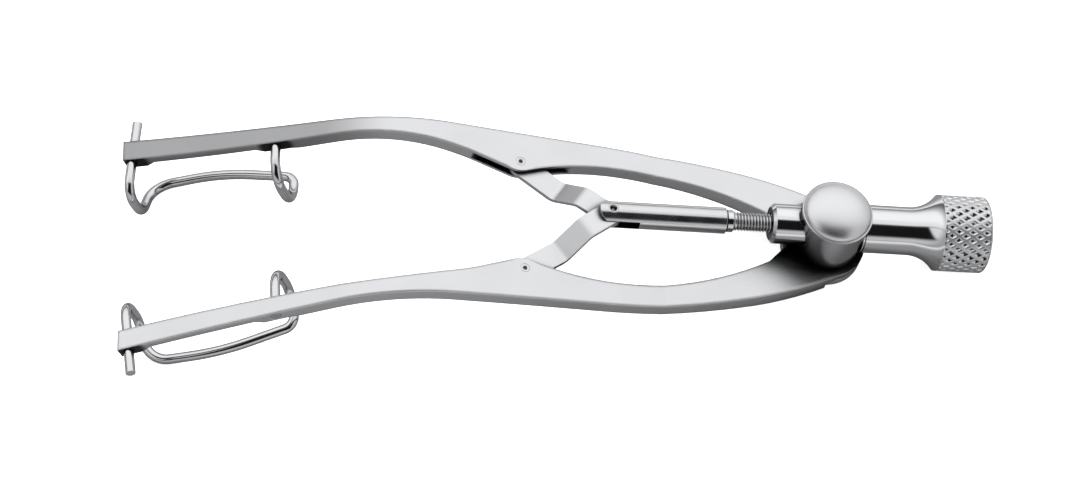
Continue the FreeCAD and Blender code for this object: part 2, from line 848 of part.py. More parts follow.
def make_link(side):
    """A flat strip, cranked down from the fork to the slot in its arm."""
    body = make_body("link_" + side.name)
    thick = float(size("link_thickness"))
    half = float(size("link_width")) / 2
    # The right link lies over the left one at the fork
    high = -side.sign * float(size("link_stack_gap") + size("link_thickness")) / 2
    low = on_arm(size("rivet_reach"), size("arm_thickness") / 2)[1]
    slope = math.tan(arm_angle) * math.cos(math.radians(link_lean))
    flat_end = float(size("link_high_length"))
    low_start = link_span - float(size("link_low_length"))
    low_z = low - slope * (link_span - low_start)
    view = new_sketch(body, "crank_" + side.name, "XZ_Plane")
    up, down = thick / 2, -thick / 2
    ends = ((-half, high), (flat_end, high), (low_start, low_z), (link_span + half, low + slope * half))
    top = [(x, z + up) for x, z in ends]
    bottom = [(x, z + down) for x, z in reversed(ends)]
    add_loop(view, bottom[-1], [(point,) for point in top + bottom])
    pad(body, view, size("link_width"), middle=True)
    # The two bends of the crank are soft, with one radius inside and the strip's more outside
    inside = size("link_bend_radius")
    for name, radius, corners in (
        ("inside_bends_", inside, (bottom[2], top[2])),
        ("outside_bends_", inside + size("link_thickness"), (top[1], bottom[1])),
    ):
        round_edges(body, name + side.name, radius, lambda edge: stands_at(edge, corners))
    # Round both ends about their holes
    ends_cut = new_sketch(body, "rounded_ends_" + side.name)
    add_loop(ends_cut, (0.0, half), [
        ((-half, 0.0), (0.0, -half)),
        ((link_span, -half),),
        ((link_span + half, 0.0), (link_span, half)),
        ((0.0, half),),
    ])
    add_box(ends_cut, (-3 * half, -2 * half), (link_span + 3 * half, 2 * half))
    pocket(body, ends_cut, middle=True)
    eyes = new_sketch(body, "eyes_" + side.name)
    add_circle(eyes, (0.0, 0.0), size("pin_radius") + size("pin_gap"))
    add_circle(eyes, (link_span, 0.0), size("rivet_radius") + size("open_pivot_gap"))
    pocket(body, eyes, middle=True)
    return body


# Blade wires
def on_arc(a, b, c, x):
    """Height at x of the shallow arc through three points."""
    arc = Part.Arc(*(Vector(float(p[0]), float(p[1]), 0) for p in (a, b, c)))
    centre, radius = arc.toShape().Curve.Center, arc.toShape().Curve.Radius
    reach = math.sqrt(radius * radius - (float(x) - centre.x) ** 2)
    return centre.y + math.copysign(reach, float(b[1]) - centre.y)


def face_spread(edge, x):
    """Distance of the blade's inner or outer face from the middle plane at x."""
    return on_arc(*LEFT.path(edge + "_bend", edge + "_blade", edge + "_tip"), x)


def blade_middle(x):
    return (face_spread("inner", x) + face_spread("outer", x)) / 2


def toed(hole_run, toe, spread):
    """How far behind the tip the wire stands at a spread, as it crosses the blade askew."""
    middle = blade_middle(on_blade(hole_run, hole_drop)[0])
    return hole_run + (spread - middle) * math.tan(math.radians(toe))


def wire_route(side):
    """Corners of the wire's centre line, each with its bend radius."""
    front_toe, rear_toe = size("front_toe_angle"), size("rear_toe_angle")
    front_turn, rear_turn = size("front_hook_radius"), size("rear_hook_radius")
    front_x = on_blade(front_hole_run, hole_drop)[0]
    rear_x = on_blade(rear_hole_run, hole_drop)[0]
    stub = face_spread("outer", front_x) + size("stub_length")
    flush = face_spread("outer", rear_x)
    front_nose = face_spread("inner", front_x) - size("front_hook_lead") - front_turn
    rear_nose = face_spread("inner", rear_x) - size("rear_hook_lead") - rear_turn
    front_leg = toed(front_hole_run, front_toe, front_nose)
    rear_leg = toed(rear_hole_run, rear_toe, rear_nose)
    front_out = face_spread("inner", front_x) + size("front_corner_outset")
    rear_out = face_spread("inner", rear_x) - size("rear_corner_inset")
    front_low = hole_drop + size("front_corner_drop")
    rear_low = hole_drop + size("rear_corner_drop")
    middle_run = (front_hole_run + rear_hole_run) / 2
    middle_out = (front_out + rear_out) / 2 + size("run_bow_out")
    middle_low = (front_low + rear_low) / 2 - size("run_bow_up")
    route = [
        (toed(front_hole_run, front_toe, stub), stub, hole_drop, 0),
        (front_leg, front_nose, hole_drop, front_turn),
        (front_leg, front_nose, hole_drop + size("front_hook_drop"), front_turn),
        (front_hole_run, front_out, front_low, size("front_corner_radius")),
        (middle_run, middle_out, middle_low, size("run_bow_radius")),
        (rear_hole_run, rear_out, rear_low, size("rear_corner_radius")),
        (rear_leg, rear_nose, hole_drop + size("rear_hook_drop"), rear_turn),
        (rear_leg, rear_nose, hole_drop, rear_turn),
        (toed(rear_hole_run, rear_toe, flush), flush, hole_drop, 0),
    ]
    corners = []
    for run, spread, drop, turn in route:
        x, z = on_blade(run, drop)
        corners.append((Vector(x, side.sign * float(spread), z), float(turn)))
    return corners


def rounded_path(corners):
    """A wire of straight runs joined by tangent arcs."""
    edges = []
    here = corners[0][0]
    for index in range(1, len(corners) - 1):
        point, radius = corners[index]
        arrive = (point - corners[index - 1][0]).normalize()
        leave = (corners[index + 1][0] - point).normalize()
        turn = arrive.getAngle(leave)
        setback = radius * math.tan(turn / 2)
        begin, end = point - arrive * setback, point + leave * setback
        inward = (leave - arrive).normalize()
        centre = point + inward * (radius / math.cos(turn / 2))
        if here.distanceToPoint(begin) > 1e-6:
            edges.append(Part.LineSegment(here, begin).toShape())
        edges.append(Part.Arc(begin, centre - inward * radius, end).toShape())
        here = end
    edges.append(Part.LineSegment(here, corners[-1][0]).toShape())
    return Part.Wire(edges)


def make_blade_wire(side):
    """One length of wire: stub, hook under the lid margin, run, hook, and back to the arm."""
    corners = wire_route(side)
    path = rounded_path(corners)
    heading = corners[1][0] - corners[0][0]
    section = Part.Wire(Part.Circle(corners[0][0], heading, float(size("wire_radius"))).toShape())
    solid = path.makePipeShell([section], True, True)
    feature = doc.addObject("Part::Feature", "blade_wire_" + side.name)
    feature.Label = "blade_wire_" + side.name
    feature.Shape = solid
    length_ratio = solid.Volume / (math.pi * size("wire_radius") ** 2 * path.Length)
    if abs(length_ratio - 1) > 0.01:
        raise ValueError("wire volume is off")
    return feature


# The instrument at rest lies on the lowest bends of its two wires and the rim of the knob.
def resting_attitude():
    """Turn and lift the instrument so that the plane it rests on is level at Z = 0."""
    wire = float(size("wire_radius"))
    rim_x, rim_z = float(head_end_x - size("head_chamfer")), -float(size("head_radius"))

    def touching(point):
        reach, rise = rim_x - point.x, rim_z - point.z
        return math.atan2(rise, reach) + math.asin(wire / math.hypot(reach, rise))

    line = rounded_path(wire_route(LEFT))
    tilt = max(touching(point) for point in line.discretize(2000))
    turn = Rotation(Vector(0, 1, 0), math.degrees(tilt))
    level = turn.multVec(Vector(rim_x, 0, rim_z)).z
    return Placement(Vector(float(size("origin_reach")), 0, -level), turn)


def build_all():
    upper_washer_low = hub_top_z + size("running_gap") / 2
    stem_clear = size("stem_radius") + size("running_gap")
    parts = [
        make_draw_rod(), make_fork_pin(), make_stop_ring(), make_lead_screw(),
        make_threaded_sleeve(), make_collar(), make_thrust_washer(), make_knob(),
        make_post(), make_cap(), make_pivot_screw(),
        make_washer("upper_washer", upper_washer_low, upper_washer_low + size("washer_thickness"),
                    stem_clear, size("washer_radius")),
        make_washer("lower_washer", stem_end_z, lower_washer_top_z, stem_clear, size("washer_radius")),
    ]
    rest = resting_attitude()
    for part in parts:
        part.Placement = rest
    for side in (LEFT, RIGHT):
        for part in (make_arm(side), make_rivet(side), make_blade_wire(side)):
            part.Placement = rest
            parts.append(part)
        link = make_link(side)
        link.Placement = rest.multiply(link_frame(side))
        parts.append(link)
    return parts


def check_and_write(parts):
    doc.recompute()
    for thing in doc.Objects:
        if "Invalid" in thing.State or "Error" in thing.State:
            raise ValueError(f"{thing.Label} failed: {thing.State}")
    for part in parts:
        if part.Shape.isNull() or not part.Shape.isValid() or not part.Shape.Solids:
            raise ValueError(f"{part.Label} has no valid solid")
    os.makedirs("parts", exist_ok=True)
    for part in parts:
        part.Shape.exportStep(os.path.join("parts", part.Label + ".step"))


check_and_write(build_all())
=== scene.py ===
import math

import bmesh
import bpy
from mathutils import Matrix, Vector


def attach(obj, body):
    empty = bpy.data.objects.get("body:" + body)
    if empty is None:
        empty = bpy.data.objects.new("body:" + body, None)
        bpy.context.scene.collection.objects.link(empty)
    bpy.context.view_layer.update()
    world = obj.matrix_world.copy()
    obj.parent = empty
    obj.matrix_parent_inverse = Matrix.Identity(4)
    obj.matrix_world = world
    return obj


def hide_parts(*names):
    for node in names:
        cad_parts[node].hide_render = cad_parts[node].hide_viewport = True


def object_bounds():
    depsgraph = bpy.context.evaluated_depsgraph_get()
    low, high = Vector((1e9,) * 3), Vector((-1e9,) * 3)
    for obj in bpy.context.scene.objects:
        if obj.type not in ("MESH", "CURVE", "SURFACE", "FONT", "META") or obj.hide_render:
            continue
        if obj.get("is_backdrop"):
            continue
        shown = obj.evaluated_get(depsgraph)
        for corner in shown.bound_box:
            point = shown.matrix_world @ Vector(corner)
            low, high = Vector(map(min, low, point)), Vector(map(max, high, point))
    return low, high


# Eye speculum in stainless steel on a white ground.
# Lengths below are millimetres in the instrument's own axes: +X from the pivot to the knob,
# +Y to the left arm, +Z up along the pivot. REST lays the instrument down on its hooks and knob.
MM = 0.001
TILT = math.radians(8.872846)
PIVOT_AT_REST = (25.965, 0.0, 5.857630)
REST = Matrix.Translation(PIVOT_AT_REST) @ Matrix.Rotation(TILT, 4, "Y")
TURN = Matrix.Rotation(TILT, 3, "Y")

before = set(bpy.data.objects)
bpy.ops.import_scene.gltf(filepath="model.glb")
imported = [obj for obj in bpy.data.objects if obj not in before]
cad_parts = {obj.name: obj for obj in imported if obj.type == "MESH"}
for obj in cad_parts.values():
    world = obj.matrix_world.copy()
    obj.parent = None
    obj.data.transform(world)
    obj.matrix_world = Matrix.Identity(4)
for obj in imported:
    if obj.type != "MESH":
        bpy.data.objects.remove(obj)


def save_bounds(record, key):
    low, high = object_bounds()
    record[key] = [[round(v, 6) for v in low], [round(v, 6) for v in high]]


sizes = {}
save_bounds(sizes, "cad")


def place(x, y, z):
    """A point of the instrument in metres, as it lies at rest."""
    return (REST @ Vector((x, y, z))) * MM


def heading(x, y, z):
    """A direction of the instrument, as it lies at rest."""
    return (TURN @ Vector((x, y, z))).normalized()


# Node trees
class Net:
    """Adds nodes to a tree, with values or links for their inputs."""

    def __init__(self, tree):
        self.tree = tree

    def add(self, kind, inputs=None, **settings):
        node = self.tree.nodes.new(kind)
        for name, value in settings.items():
            setattr(node, name, value)
        for key, value in (inputs or {}).items():
            if isinstance(value, bpy.types.NodeSocket):
                self.tree.links.new(value, node.inputs[key])
            else:
                node.inputs[key].default_value = value
        return node

    def math(self, operation, a, b=0.0):
        return self.add("ShaderNodeMath", {0: a, 1: b}, operation=operation).outputs[0]

    def times(self, first, *others):
        for other in others:
            first = self.math("MULTIPLY", first, other)
        return first

    def less(self, value, share):
        """The value with a share of it taken away."""
        return self.times(value, self.math("SUBTRACT", 1.0, share))

    def vector(self, operation, a, b=(0.0, 0.0, 0.0)):
        node = self.add("ShaderNodeVectorMath", {0: a, 1: b}, operation=operation)
        return node.outputs["Value" if operation in ("DOT_PRODUCT", "LENGTH") else "Vector"]

    def part(self, at, letter):
        """The X, Y or Z of a vector."""
        return self.add("ShaderNodeSeparateXYZ", {0: at}).outputs[letter]

    def scaled(self, vector, factor):
        inputs = {0: vector, "Scale": factor}
        return self.add("ShaderNodeVectorMath", inputs, operation="SCALE").outputs["Vector"]

    def noise(self, at, scale, detail, rough):
        inputs = {"Vector": at, "Scale": scale, "Detail": detail, "Roughness": rough}
        return self.add("ShaderNodeTexNoise", inputs).outputs[0]

    def remap(self, value, low, high, to_low=0.0, to_high=1.0, smooth=False):
        inputs = {
            "Value": value, "From Min": low, "From Max": high, "To Min": to_low, "To Max": to_high,
        }
        kind = "SMOOTHSTEP" if smooth else "LINEAR"
        return self.add("ShaderNodeMapRange", inputs, interpolation_type=kind).outputs[0]

    def blend(self, factor, a, b, kind="RGBA"):
        node = self.add("ShaderNodeMix", data_type=kind)
        slots = {"RGBA": (6, 7, 2), "FLOAT": (2, 3, 0)}[kind]
        for index, value in ((0, factor), (slots[0], a), (slots[1], b)):
            if isinstance(value, bpy.types.NodeSocket):
                self.tree.links.new(value, node.inputs[index])
            else:
                node.inputs[index].default_value = value
        return node.outputs[slots[2]]


def new_group(name, inputs, outputs):
    tree = bpy.data.node_groups.new(name, "ShaderNodeTree")
    for label, kind, value in inputs:
        socket = tree.interface.new_socket(label, in_out="INPUT", socket_type=kind)
        if value is not None:
            socket.default_value = value
    for label, kind in outputs:
        tree.interface.new_socket(label, in_out="OUTPUT", socket_type=kind)
    net = Net(tree)
    entry = net.add("NodeGroupInput") if inputs else None
    return tree, net, entry, net.add("NodeGroupOutput")


def use_group(net, tree, inputs=None):
    return net.add("ShaderNodeGroup", inputs, node_tree=tree)


FLOAT, VECTOR = "NodeSocketFloat", "NodeSocketVector"


def grey(value):
    return (value, value, value, 1.0)


# The point being shaded, in millimetres in the instrument's own axes
spot_group, net, _, out = new_group("instrument_place", [], [("Place", VECTOR)])
coords = net.add("ShaderNodeTexCoord").outputs["Object"]
moved = net.vector("SUBTRACT", coords, tuple(REST.to_translation() * MM))
turned = net.add(
    "ShaderNodeVectorRotate",
    {"Vector": moved, "Center": (0, 0, 0), "Axis": (0, 1, 0), "Angle": -TILT},
    rotation_type="AXIS_ANGLE",
).outputs[0]
scaled = net.vector("MULTIPLY", turned, (1000.0, 1000.0, 1000.0))
net.tree.links.new(scaled, out.inputs["Place"])

# Fine satin texture: a blasted grain crossed by faint lines along the instrument
satin_group, net, entry, out = new_group(
    "satin_texture",
    [("Place", VECTOR, None)],
    [("Grain", FLOAT), ("Lines", FLOAT), ("Cloud", FLOAT)],
)
grain = net.noise(entry.outputs["Place"], 9.0, 3.0, 0.6)
stretched = net.vector("MULTIPLY", entry.outputs["Place"], (0.35, 9.0, 9.0))
lines = net.noise(stretched, 1.0, 3.0, 0.65)
cloud = net.noise(entry.outputs["Place"], 0.16, 2.0, 0.5)
for label, value in (("Grain", grain), ("Lines", lines), ("Cloud", cloud)):
    net.tree.links.new(value, out.inputs[label])

# Turning marks: fine rings about the screw axis, with faint smudges over them
turning_group, net, entry, out = new_group(
    "turning_marks",
    [("Place", VECTOR, None)],
    [("Rings", FLOAT), ("Smudge", FLOAT)],
)
along = net.vector("MULTIPLY", entry.outputs["Place"], (11.0, 0.25, 0.25))
rings = net.noise(along, 1.0, 3.0, 0.7)
smudge = net.noise(entry.outputs["Place"], 0.55, 3.0, 0.55)
for label, value in (("Rings", rings), ("Smudge", smudge)):
    net.tree.links.new(value, out.inputs[label])

# Soft rounding of sharp edges, as a normal
edge_group, net, entry, out = new_group("soft_edges", [("Radius", FLOAT, 0.0001)], [("Normal", VECTOR)])
bevel = net.add("ShaderNodeBevel", {"Radius": entry.outputs["Radius"]}, samples=6)
net.tree.links.new(bevel.outputs["Normal"], out.inputs["Normal"])

# Crevices: 1 in the open, falling where other pieces stand close round a point. The materials darken their
# colour by it, as painted shade
crevice_shade_group, net, entry, out = new_group("crevice_shade", [("Reach", FLOAT, 0.003)], [("Open", FLOAT)])
shade = net.add("ShaderNodeAmbientOcclusion", {"Distance": entry.outputs["Reach"]}, samples=16)
net.tree.links.new(shade.outputs["AO"], out.inputs["Open"])

# Wire holes: where painted shade goes, 1 round a hole, on the sides that look to the instrument's
# right. The rear hole of the right blade keeps a clear side.
FRONT_HOLE, REAR_HOLE = (-65.41, -10.80), (-52.30, -4.79)
HOLE_SHADE, HOLE_FADE = 1.25, 2.0
hole_shade_group, net, entry, out = new_group("wire_hole_shade", [("Place", VECTOR, None)], [("Near", FLOAT)])
spot = entry.outputs["Place"]
near = 0.0
on_left = net.math("GREATER_THAN", net.part(spot, "Y"), 0.0)
for (along, up), share in ((FRONT_HOLE, 1.0), (REAR_HOLE, on_left)):
    apart = net.vector("SUBTRACT", spot, (along, 0.0, up))
    flat = net.vector("MULTIPLY", apart, (1.0, 0.0, 1.0))
    ring = net.remap(net.vector("LENGTH", flat), HOLE_SHADE, HOLE_FADE, 1.0, 0.0, smooth=True)
    near = net.math("MAXIMUM", near, net.times(ring, share))
normal = net.add("ShaderNodeNewGeometry").outputs["Normal"]
side = net.remap(net.vector("DOT_PRODUCT", normal, (0.0, -1.0, 0.0)), 0.5, 0.7, smooth=True)
net.tree.links.new(net.times(near, side), out.inputs["Near"])


def new_material(name):
    made = bpy.data.materials.new(name)
    made.use_nodes = True
    made.node_tree.nodes.clear()
    return made, Net(made.node_tree)


def finish_material(net, shader):
    out = net.add("ShaderNodeOutputMaterial")
    net.tree.links.new(shader.outputs[0], out.inputs["Surface"])


def bare_metal(net, colour, tone, rough, normal=None):
    inputs = {"Base Color": net.scaled(tuple(colour), tone), "Metallic": 1.0, "Roughness": rough}
    if normal is not None:
        inputs["Normal"] = normal
    return net.add("ShaderNodeBsdfPrincipled", inputs)


def bumped(net, strength, depth_mm, height, edge):
    """A bump over softly rounded edges."""
    soft = use_group(net, edge_group, {"Radius": edge}).outputs["Normal"]
    inputs = {"Strength": strength, "Distance": depth_mm * MM, "Height": height, "Normal": soft}
    return net.add("ShaderNodeBump", inputs).outputs[0]


# Satin steel: how much painted shade darkens the blade of one arm, and where along it the tone changes
BLADE_PAINTED_SHADE, BLADE_FROM, BLADE_TO = 0.46, -41.0, -49.0
# The share of light taken away by the painted shade round the wire holes
HOLE_PAINTED_SHADE = 0.93
# Where the link rivets stand, their radius, and how wide the sharp rim round them is
RIVET_REACH, RIVET_SPREAD, RIVET_R, RIVET_RIM = 29.52, 5.8, 0.45, 0.6


def satin_steel(name, colour, roughness, edge, grain, crevice_shade_strength, reach=0.0035, arm=False, painted_blade_shade=False):
    """Blasted steel, with painted shade in its crevices. An arm has painted shade round its wire holes,
    and one arm can also have painted shade on its blade.
    """
    made, net = new_material(name)
    spot = use_group(net, spot_group).outputs["Place"]
    texture = use_group(net, satin_group, {"Place": spot}).outputs
    cloud = net.remap(texture["Cloud"], 0.35, 0.65, 1.0 - 0.04 * grain, 1.0 + 0.02 * grain)
    lines = net.remap(texture["Lines"], 0.3, 0.7, 1.0 - 0.02 * grain, 1.0 + 0.01 * grain)
    nook = use_group(net, crevice_shade_group, {"Reach": reach}).outputs["Open"]
    # Painted shade: the colour darkens where the crevice value falls
    tone = net.times(cloud, lines, net.remap(nook, 0.6, 0.9, 1.0 - crevice_shade_strength, 1.0, smooth=True))
    if arm:
        # Painted shade round the wire holes
        near = use_group(net, hole_shade_group, {"Place": spot}).outputs["Near"]
        tone = net.less(tone, net.times(near, HOLE_PAINTED_SHADE))
        # The rivets are ground flush, so the bars keep a sharp edge round them
        apart = net.vector("SUBTRACT", net.vector("ABSOLUTE", spot), (RIVET_REACH, RIVET_SPREAD, 0.0))
        reach_out = net.vector("LENGTH", net.vector("MULTIPLY", apart, (1.0, 1.0, 0.0)))
        edge = net.remap(reach_out, 2 * RIVET_R, 2 * RIVET_R + RIVET_RIM, 0.02 * MM, edge)
    if painted_blade_shade:
        # Painted shade: the blade's colour is made darker than its arm's
        blade_shade = net.remap(net.part(spot, "X"), BLADE_FROM, BLADE_TO, 1.0, 1.0 - BLADE_PAINTED_SHADE, smooth=True)
        tone = net.times(tone, blade_shade)
    rough = net.math("ADD", roughness - 0.03, net.times(texture["Grain"], 0.06))
    height = net.math("ADD", texture["Grain"], net.times(texture["Lines"], 0.8))
    bump = bumped(net, 0.2, 0.006 * grain, height, edge)
    finish_material(net, bare_metal(net, colour, tone, rough, bump))
    return made


def polished_steel(name, colour, roughness, edge=0.00008, crevice_shade_strength=0.4, wire=False):
    """Turned or drawn steel, with painted shade in its crevices. A wire's flush end shares the painted
    shade round the hole that it ends in.
    """
    made, net = new_material(name)
    spot = use_group(net, spot_group).outputs["Place"]
    marks = use_group(net, turning_group, {"Place": spot}).outputs
    nook = use_group(net, crevice_shade_group, {"Reach": 0.002}).outputs["Open"]
    smudged = net.remap(marks["Smudge"], 0.3, 0.7, 0.97, 1.02)
    # Painted shade: the colour darkens where the crevice value falls
    tone = net.times(smudged, net.remap(nook, 0.3, 0.85, 1.0 - crevice_shade_strength, 1.0, smooth=True))
    if wire:
        near = use_group(net, hole_shade_group, {"Place": spot}).outputs["Near"]
        normal = net.add("ShaderNodeNewGeometry").outputs["Normal"]
        across = net.math("ABSOLUTE", net.vector("DOT_PRODUCT", normal, tuple(heading(0, 1, 0))))
        between = (FRONT_HOLE[0] + REAR_HOLE[0]) / 2
        rear = net.math("GREATER_THAN", net.part(spot, "X"), between)
        # Painted shade on the wire's flush end at the rear hole, like the hole's sides
        end = net.times(near, rear, net.remap(across, 0.97, 0.985))
        tone = net.less(tone, net.times(end, HOLE_PAINTED_SHADE))
    rough = net.remap(marks["Smudge"], 0.3, 0.7, roughness * 0.85, roughness * 1.25)
    bump = bumped(net, 0.25, 0.002, marks["Rings"], edge)
    finish_material(net, bare_metal(net, colour, tone, rough, bump))
    return made


def cut_steel(name, colour, roughness, crests=None):
    """Knurled or threaded steel, with painted shade in its valleys by the mesh's own depth values.

    crests gives the place along the axis where worn, duller crests start, and their roughness.
    """
    made, net = new_material(name)
    spot = use_group(net, spot_group).outputs["Place"]
    marks = use_group(net, turning_group, {"Place": spot}).outputs
    depth = net.add("ShaderNodeAttribute", attribute_name="depth").outputs["Fac"]
    # Painted shade: darker towards the bottom of the valleys
    shade = net.remap(depth, 0.4, 0.9, 1.0, 0.3)
    rough = net.math("ADD", roughness, net.times(marks["Smudge"], 0.06))
    if crests:
        start, worn = crests
        past = net.remap(net.part(spot, "X"), start, start + 0.1)
        crest = net.times(past, net.remap(depth, 0.0, 0.12, 1.0, 0.0))
        rough = net.blend(crest, rough, worn, kind="FLOAT")
        shade = net.times(shade, net.remap(crest, 0.0, 1.0, 1.0, 0.95))
    finish_material(net, bare_metal(net, colour, shade, rough))
    return made


STEEL = (0.79, 0.795, 0.815)
BRIGHT = (0.82, 0.825, 0.843)
DRAWN = (0.74, 0.745, 0.765)
CUT = (0.75, 0.755, 0.77)
# In all of these the crevice shade is painted shade; on the right arm and the post it is deep and reaches
# far, darkening round the pivot
satin_left = satin_steel(
    "satin_steel_left", STEEL, 0.38, edge=0.0004, grain=0.6, crevice_shade_strength=0.9, reach=0.0025, arm=True, painted_blade_shade=True,
)
satin_right = satin_steel(
    "satin_steel_right", STEEL, 0.38, edge=0.0004, grain=0.6, crevice_shade_strength=0.97, reach=0.0055, arm=True,
)
satin_links = satin_steel("satin_steel_links", STEEL, 0.34, edge=0.00008, grain=0.3, crevice_shade_strength=0.8)
satin_cap = satin_steel("satin_steel_cap", BRIGHT, 0.36, edge=0.00003, grain=0.2, crevice_shade_strength=0.2)
satin_post = satin_steel(
    "satin_steel_post", DRAWN, 0.2, edge=0.00008, grain=0.3, crevice_shade_strength=0.97, reach=0.005,
)
polish = polished_steel("polished_steel_turned", BRIGHT, 0.075, crevice_shade_strength=0.95)
polish_wire = polished_steel("polished_steel_wire", DRAWN, 0.10, edge=0.00004, wire=True)
polish_rod = polished_steel("polished_steel_rod", DRAWN, 0.19, crevice_shade_strength=0.85)
cut = cut_steel("polished_steel_cut", BRIGHT, 0.07, crests=(10.3, 0.42))
thread_steel = cut_steel("polished_steel_thread", CUT, 0.2)

SURFACES = {
    "arm_left": satin_left, "arm_right": satin_right,
    "link_left": satin_links, "link_right": satin_links,
    "pivot_post": satin_post, "draw_rod": polish_rod,
    "blade_wire_left": polish_wire, "blade_wire_right": polish_wire,
}
for name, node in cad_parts.items():
    node.data.materials.clear()
    node.data.materials.append(SURFACES.get(name, polish))


# Meshes made here
def add_piece(name, mesh, body, material, replaced):
    piece = bpy.data.objects.new(name, mesh)
    bpy.context.scene.collection.objects.link(piece)
    mesh.materials.append(material)
    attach(piece, body)
    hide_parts(replaced)


def turned_mesh(name, profile, turns, axis="X", lift=None, seat=None, sharp=35.0):
    """Spins a half profile of (along, out) points about an axis of the instrument.

    lift(along, out, angle) gives a vertex's change of radius and the depth value stored there,
    and works on a piece turned about X. seat is where the piece stands in the instrument.
    """
    build = bmesh.new()
    layer = build.verts.layers.float.new("depth")
    spots = [(a, 0.0, r) if axis == "X" else (r, 0.0, a) for a, r in profile]
    verts = [build.verts.new(spot) for spot in spots]
    edges = [build.edges.new(pair) for pair in zip(verts, verts[1:])]
    bmesh.ops.spin(
        build, geom=verts + edges, cent=(0, 0, 0), axis=(1, 0, 0) if axis == "X" else (0, 0, 1),
        angle=2 * math.pi, steps=turns, use_merge=True,
    )
    bmesh.ops.remove_doubles(build, verts=build.verts, dist=1e-5)
    if lift:
        for vert in build.verts:
            x, y, z = vert.co
            out = math.hypot(y, z)
            change, depth = lift(x, out, math.atan2(z, y))
            vert[layer] = depth
            if out > 1e-6:
                vert.co = (x, y * (out + change) / out, z * (out + change) / out)
    bmesh.ops.recalc_face_normals(build, faces=build.faces)
    whole = Matrix.Scale(MM, 4) @ REST @ (seat or Matrix.Identity(4))
    bmesh.ops.transform(build, matrix=whole, verts=build.verts)
    mesh = bpy.data.meshes.new(name)
    build.to_mesh(mesh)
    build.free()
    mesh.polygons.foreach_set("use_smooth", [True] * len(mesh.polygons))
    mesh.set_sharp_from_angle(angle=math.radians(sharp))
    return mesh


# Knob: neck, trumpet flare and knurled head
NECK_START, NECK_END, NECK_R, NECK_EDGE = 2.94, 7.64, 2.3, 0.06
HEAD_START, HEAD_END, HEAD_R = 10.26, 14.96, 3.64
WAIST_RISE, HEAD_EDGE = 0.32, 0.3
KNURL_START, KNURL_END, KNURL_FADE, KNURL_ROWS = 10.34, 14.72, 0.1, 64
TEETH, TOOTH_STEPS = 26, 14
KNURL_PITCH, KNURL_DEPTH, PIT_SHARE = 1.36, 0.24, 0.66
SLEEVE_R, BORE_END = 1.5, 9.2


def groove(value):
    """1 on a line of the pattern and 0 midway between two."""
    return abs((value % 1.0) - 0.5) * 2.0


def knurl(x, r, angle):
    """Diamond pits between crossing crests."""
    if not KNURL_START < x < KNURL_END or r < HEAD_R - 0.01:
        return 0.0, 0.0
    around = angle * TEETH / (2 * math.pi)
    along = (x - HEAD_START) / KNURL_PITCH
    crest = max(groove(around + along), groove(around - along))
    pit = min(1.0, max(0.0, (PIT_SHARE - crest) / PIT_SHARE))
    fade = min(1.0, (x - KNURL_START) / KNURL_FADE, (KNURL_END - x) / KNURL_FADE)
    return -KNURL_DEPTH * pit * max(0.0, fade), pit


def arc_points(a, b, c, count):
    """Points on the circle through a, b and c, from a to c."""
    d = 2 * (a[0] * (b[1] - c[1]) + b[0] * (c[1] - a[1]) + c[0] * (a[1] - b[1]))
    squares = [p[0] ** 2 + p[1] ** 2 for p in (a, b, c)]
    ux = (squares[0] * (b[1] - c[1]) + squares[1] * (c[1] - a[1]) + squares[2] * (a[1] - b[1])) / d
    uy = (squares[0] * (c[0] - b[0]) + squares[1] * (a[0] - c[0]) + squares[2] * (b[0] - a[0])) / d
    radius = math.hypot(a[0] - ux, a[1] - uy)
    start = math.atan2(a[1] - uy, a[0] - ux)
    end = math.atan2(c[1] - uy, c[0] - ux)
    sweep = (end - start + math.pi) % (2 * math.pi) - math.pi
    turns = [start + sweep * i / count for i in range(count + 1)]
    return [(ux + radius * math.cos(t), uy + radius * math.sin(t)) for t in turns]


def steps_between(start, end, count):
    """Even steps from start to end, both given."""
    return [start + (end - start) * i / count for i in range(count + 1)]


def knob_profile():
    waist = ((NECK_END + HEAD_START) / 2, NECK_R + WAIST_RISE)
    points = [(BORE_END, 0.0), (BORE_END, SLEEVE_R), (NECK_START, SLEEVE_R)]
    points += [(NECK_START, NECK_R - NECK_EDGE), (NECK_START + NECK_EDGE, NECK_R)]
    points += [(x, NECK_R) for x in steps_between(NECK_START, NECK_END, 10)[1:-1]]
    points += arc_points((NECK_END, NECK_R), waist, (HEAD_START, HEAD_R), 20)
    points += [(HEAD_START + 0.1, HEAD_R), (KNURL_START - 0.02, HEAD_R)]
    points += [(x, HEAD_R) for x in steps_between(KNURL_START, KNURL_END, KNURL_ROWS)]
    points += [(KNURL_END + 0.02, HEAD_R)]
    for i in range(7):
        turn = math.radians(90 * i / 6)
        in_x, in_r = HEAD_EDGE * (1 - math.sin(turn)), HEAD_EDGE * (1 - math.cos(turn))
        points.append((HEAD_END - in_x, HEAD_R - in_r))
    points += [(HEAD_END, HEAD_R - HEAD_EDGE - 0.4), (HEAD_END, 1.0), (HEAD_END, 0.0)]
    return points


knob_mesh = turned_mesh("knob_knurled", knob_profile(), TEETH * TOOTH_STEPS, lift=knurl, sharp=28.0)
add_piece("knob_knurled", knob_mesh, "thumb_screw", cut, "knob")

# Lead screw: a single right-hand thread
THREAD_PITCH, THREAD_R, THREAD_DEPTH = 0.3, 0.88, 0.12
THREAD_CREST, THREAD_FLANK, THREAD_RUNOUT = 0.08, 0.8, 0.3
THREAD_ROWS, THREAD_STEPS = 10, 48
RING_END, LEAD_END, LEAD_CHAMFER = -9.5, -0.77, 0.2
SPIGOT_START, SPIGOT_R = -13.35, 0.6


